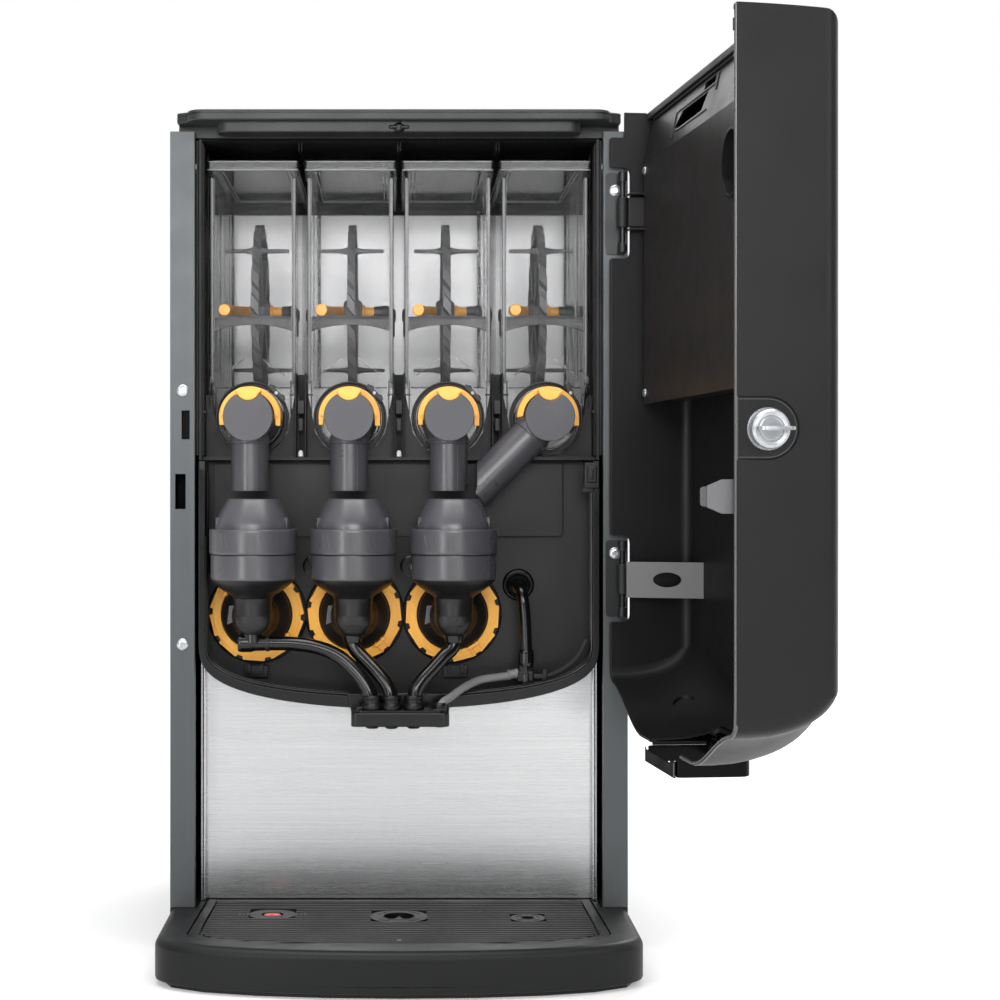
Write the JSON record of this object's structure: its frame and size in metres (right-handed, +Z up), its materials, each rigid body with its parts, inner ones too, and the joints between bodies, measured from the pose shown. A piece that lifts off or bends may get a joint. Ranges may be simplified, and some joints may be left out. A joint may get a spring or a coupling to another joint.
{
  "type": "instant drink dispenser",
  "caption": "Table-top powder drink dispenser with its door open: clear canisters with chutes, whipper mixers, hoses to a central outlet, drip tray with grille.",
  "frame": {"origin": "on the floor plane under the base, in the middle of the cabinet's width, at the plane of the cabinet's front posts", "axes": "+Z up, +X to the viewer's right facing the machine, -Y out of the front; the door is stored open at 96 degrees"},
  "size_m": [0.498, 0.7627, 0.731],
  "materials": {
    "dark_moulding": "fine-grained dark grey moulding",
    "door_plastic": "fine-grained dark grey moulding",
    "painted_frame": "blue-grey powder coat",
    "bay_steel": "brushed sheet",
    "shelf_black": "satin black",
    "wall_grey": "satin dark grey",
    "clear_plastic": "clear polycarbonate",
    "lid_plastic": "satin black",
    "mixer_grey": "satin mid grey",
    "orange_plastic": "satin orange",
    "screw_white": "satin off-white",
    "hose_rubber": "satin black",
    "hose_silicone": "satin grey",
    "boiler_steel": "drawn steel",
    "chassis_steel": "zinc-plated, dark",
    "chrome": "polished",
    "gloss_black": "gloss",
    "red_plastic": "gloss"
  },
  "bodies": {
    "cabinet": {"base_moulding": "dark_moulding", "cabinet_wrap": "painted_frame", "top_cover": "dark_moulding", "bay_back_panel": "bay_steel", "canister_shelf": "shelf_black", "mixer_bay_wall": "wall_grey", "splash_panel": "bay_steel", "outlet_block": "mixer_grey", "hose_left": "hose_rubber", "hose_middle": "hose_rubber", "hose_right": "hose_rubber", "water_hose": "hose_silicone", "hot_water_pipe": "hose_rubber", "boiler": "boiler_steel", "drive_chassis": "chassis_steel", "hinge_leaf_upper": "painted_frame", "hinge_leaf_lower": "painted_frame", "mixer_funnel_1": "mixer_grey", "mixer_funnel_2": "mixer_grey", "mixer_funnel_3": "mixer_grey", "mixer_bowl_1": "mixer_grey", "mixer_bowl_2": "mixer_grey", "mixer_bowl_3": "mixer_grey"},
    "door": {"door_shell": "door_plastic", "control_box_cover": "wall_grey", "spout_cover": "gloss_black"},
    "lock": {"lock_cylinder": "chrome"},
    "tray": {"drip_tray": "dark_moulding"},
    "grille": {"drip_grille": "dark_moulding"},
    "float": {"level_float": "red_plastic"},
    "canister_1_body": {"canister_1": "clear_plastic"},
    "lid_1": {"canister_lid_1": "lid_plastic"},
    "outlet_1": {"outlet_elbow_1": "mixer_grey", "locking_ring_1": "orange_plastic"},
    "wheel_1": {"agitator_wheel_1": "mixer_grey"},
    "screw_1": {"auger_1": "mixer_grey"},
    "canister_2_body": {"canister_2": "clear_plastic"},
    "lid_2": {"canister_lid_2": "lid_plastic"},
    "outlet_2": {"outlet_elbow_2": "mixer_grey", "locking_ring_2": "orange_plastic"},
    "wheel_2": {"agitator_wheel_2": "mixer_grey"},
    "screw_2": {"auger_2": "mixer_grey"},
    "canister_3_body": {"canister_3": "clear_plastic"},
    "lid_3": {"canister_lid_3": "lid_plastic"},
    "outlet_3": {"outlet_elbow_3": "mixer_grey", "locking_ring_3": "orange_plastic"},
    "wheel_3": {"agitator_wheel_3": "mixer_grey"},
    "screw_3": {"auger_3": "mixer_grey"},
    "canister_4_body": {"canister_4": "clear_plastic"},
    "lid_4": {"canister_lid_4": "lid_plastic"},
    "outlet_4": {"outlet_elbow_4": "mixer_grey", "locking_ring_4": "orange_plastic"},
    "wheel_4": {"agitator_wheel_4": "mixer_grey"},
    "screw_4": {"auger_4": "mixer_grey"},
    "bayonet_1": {"bayonet_ring_1": "orange_plastic"},
    "impeller_1": {"mixer_impeller_1": "screw_white"},
    "bayonet_2": {"bayonet_ring_2": "orange_plastic"},
    "impeller_2": {"mixer_impeller_2": "screw_white"},
    "bayonet_3": {"bayonet_ring_3": "orange_plastic"},
    "impeller_3": {"mixer_impeller_3": "screw_white"}
  },
  "joints": [
    {"name": "door_swing", "type": "hinge", "parent": "cabinet", "child": "door", "pos_m": [0.194, -0.012, 0.45], "axis": [0, 0, 1], "range_deg": [-96, 14]},
    {"name": "key_turn", "type": "hinge", "parent": "door", "child": "lock", "pos_m": [0.2481, -0.4025, 0.4447], "axis": [0.1045, -0.9945, 0], "range_deg": [0, 90]},
    {"name": "tray_pull", "type": "slide", "parent": "cabinet", "child": "tray", "axis": [0, -1, 0], "range_m": [0, 0.2]},
    {"name": "grille_lift", "type": "slide", "parent": "tray", "child": "grille", "axis": [0, 0, 1], "range_m": [0, 0.03]},
    {"name": "float_rise", "type": "slide", "parent": "tray", "child": "float", "axis": [0, 0, 1], "range_m": [0, 0.012]},
    {"name": "canister_1_pull", "type": "slide", "parent": "cabinet", "child": "canister_1_body", "axis": [0, -1, 0], "range_m": [0, 0.2]},
    {"name": "lid_1_lift", "type": "slide", "parent": "canister_1_body", "child": "lid_1", "axis": [0, 0, 1], "range_m": [0, 0.012]},
    {"name": "outlet_1_swing", "type": "hinge", "parent": "canister_1_body", "child": "outlet_1", "pos_m": [-0.1305, 0, 0.4664], "axis": [0, 1, 0], "range_deg": [0, 20]},
    {"name": "screw_1_spin", "type": "hinge", "parent": "canister_1_body", "child": "screw_1", "pos_m": [-0.1305, 0.15, 0.4664], "axis": [0, 1, 0], "continuous": true},
    {"name": "wheel_1_spin", "type": "hinge", "parent": "canister_1_body", "child": "wheel_1", "pos_m": [-0.1305, 0.14, 0.57], "axis": [1, 0, 0], "continuous": true},
    {"name": "canister_2_pull", "type": "slide", "parent": "cabinet", "child": "canister_2_body", "axis": [0, -1, 0], "range_m": [0, 0.2]},
    {"name": "lid_2_lift", "type": "slide", "parent": "canister_2_body", "child": "lid_2", "axis": [0, 0, 1], "range_m": [0, 0.012]},
    {"name": "outlet_2_swing", "type": "hinge", "parent": "canister_2_body", "child": "outlet_2", "pos_m": [-0.0435, 0, 0.4664], "axis": [0, 1, 0], "range_deg": [0, 45]},
    {"name": "screw_2_spin", "type": "hinge", "parent": "canister_2_body", "child": "screw_2", "pos_m": [-0.0435, 0.15, 0.4664], "axis": [0, 1, 0], "continuous": true},
    {"name": "wheel_2_spin", "type": "hinge", "parent": "canister_2_body", "child": "wheel_2", "pos_m": [-0.0435, 0.14, 0.57], "axis": [1, 0, 0], "continuous": true},
    {"name": "canister_3_pull", "type": "slide", "parent": "cabinet", "child": "canister_3_body", "axis": [0, -1, 0], "range_m": [0, 0.2]},
    {"name": "lid_3_lift", "type": "slide", "parent": "canister_3_body", "child": "lid_3", "axis": [0, 0, 1], "range_m": [0, 0.012]},
    {"name": "outlet_3_swing", "type": "hinge", "parent": "canister_3_body", "child": "outlet_3", "pos_m": [0.0435, 0, 0.4664], "axis": [0, 1, 0], "range_deg": [0, 45]},
    {"name": "screw_3_spin", "type": "hinge", "parent": "canister_3_body", "child": "screw_3", "pos_m": [0.0435, 0.15, 0.4664], "axis": [0, 1, 0], "continuous": true},
    {"name": "wheel_3_spin", "type": "hinge", "parent": "canister_3_body", "child": "wheel_3", "pos_m": [0.0435, 0.14, 0.57], "axis": [1, 0, 0], "continuous": true},
    {"name": "canister_4_pull", "type": "slide", "parent": "cabinet", "child": "canister_4_body", "axis": [0, -1, 0], "range_m": [0, 0.2]},
    {"name": "lid_4_lift", "type": "slide", "parent": "canister_4_body", "child": "lid_4", "axis": [0, 0, 1], "range_m": [0, 0.012]},
    {"name": "outlet_4_swing", "type": "hinge", "parent": "canister_4_body", "child": "outlet_4", "pos_m": [0.1305, 0, 0.4664], "axis": [0, -1, 0], "range_deg": [0, 50]},
    {"name": "screw_4_spin", "type": "hinge", "parent": "canister_4_body", "child": "screw_4", "pos_m": [0.1305, 0.15, 0.4664], "axis": [0, 1, 0], "continuous": true},
    {"name": "wheel_4_spin", "type": "hinge", "parent": "canister_4_body", "child": "wheel_4", "pos_m": [0.1305, 0.14, 0.57], "axis": [1, 0, 0], "continuous": true},
    {"name": "bayonet_1_turn", "type": "hinge", "parent": "cabinet", "child": "bayonet_1", "pos_m": [-0.1265, 0.0345, 0.2919], "axis": [0, 1, 0], "range_deg": [0, 30]},
    {"name": "impeller_1_spin", "type": "hinge", "parent": "cabinet", "child": "impeller_1", "pos_m": [-0.1265, 0.008, 0.2919], "axis": [0, 1, 0], "continuous": true},
    {"name": "bayonet_2_turn", "type": "hinge", "parent": "cabinet", "child": "bayonet_2", "pos_m": [-0.0395, 0.0345, 0.2919], "axis": [0, 1, 0], "range_deg": [0, 30]},
    {"name": "impeller_2_spin", "type": "hinge", "parent": "cabinet", "child": "impeller_2", "pos_m": [-0.0395, 0.008, 0.2919], "axis": [0, 1, 0], "continuous": true},
    {"name": "bayonet_3_turn", "type": "hinge", "parent": "cabinet", "child": "bayonet_3", "pos_m": [0.0475, 0.0345, 0.2919], "axis": [0, 1, 0], "range_deg": [0, 30]},
    {"name": "impeller_3_spin", "type": "hinge", "parent": "cabinet", "child": "impeller_3", "pos_m": [0.0475, 0.008, 0.2919], "axis": [0, 1, 0], "continuous": true}
  ],
  "couplings": [
    {"joint": "wheel_1_spin", "follows": "screw_1_spin", "ratio": -0.05},
    {"joint": "wheel_2_spin", "follows": "screw_2_spin", "ratio": -0.05},
    {"joint": "wheel_3_spin", "follows": "screw_3_spin", "ratio": -0.05},
    {"joint": "wheel_4_spin", "follows": "screw_4_spin", "ratio": -0.05}
  ]
}
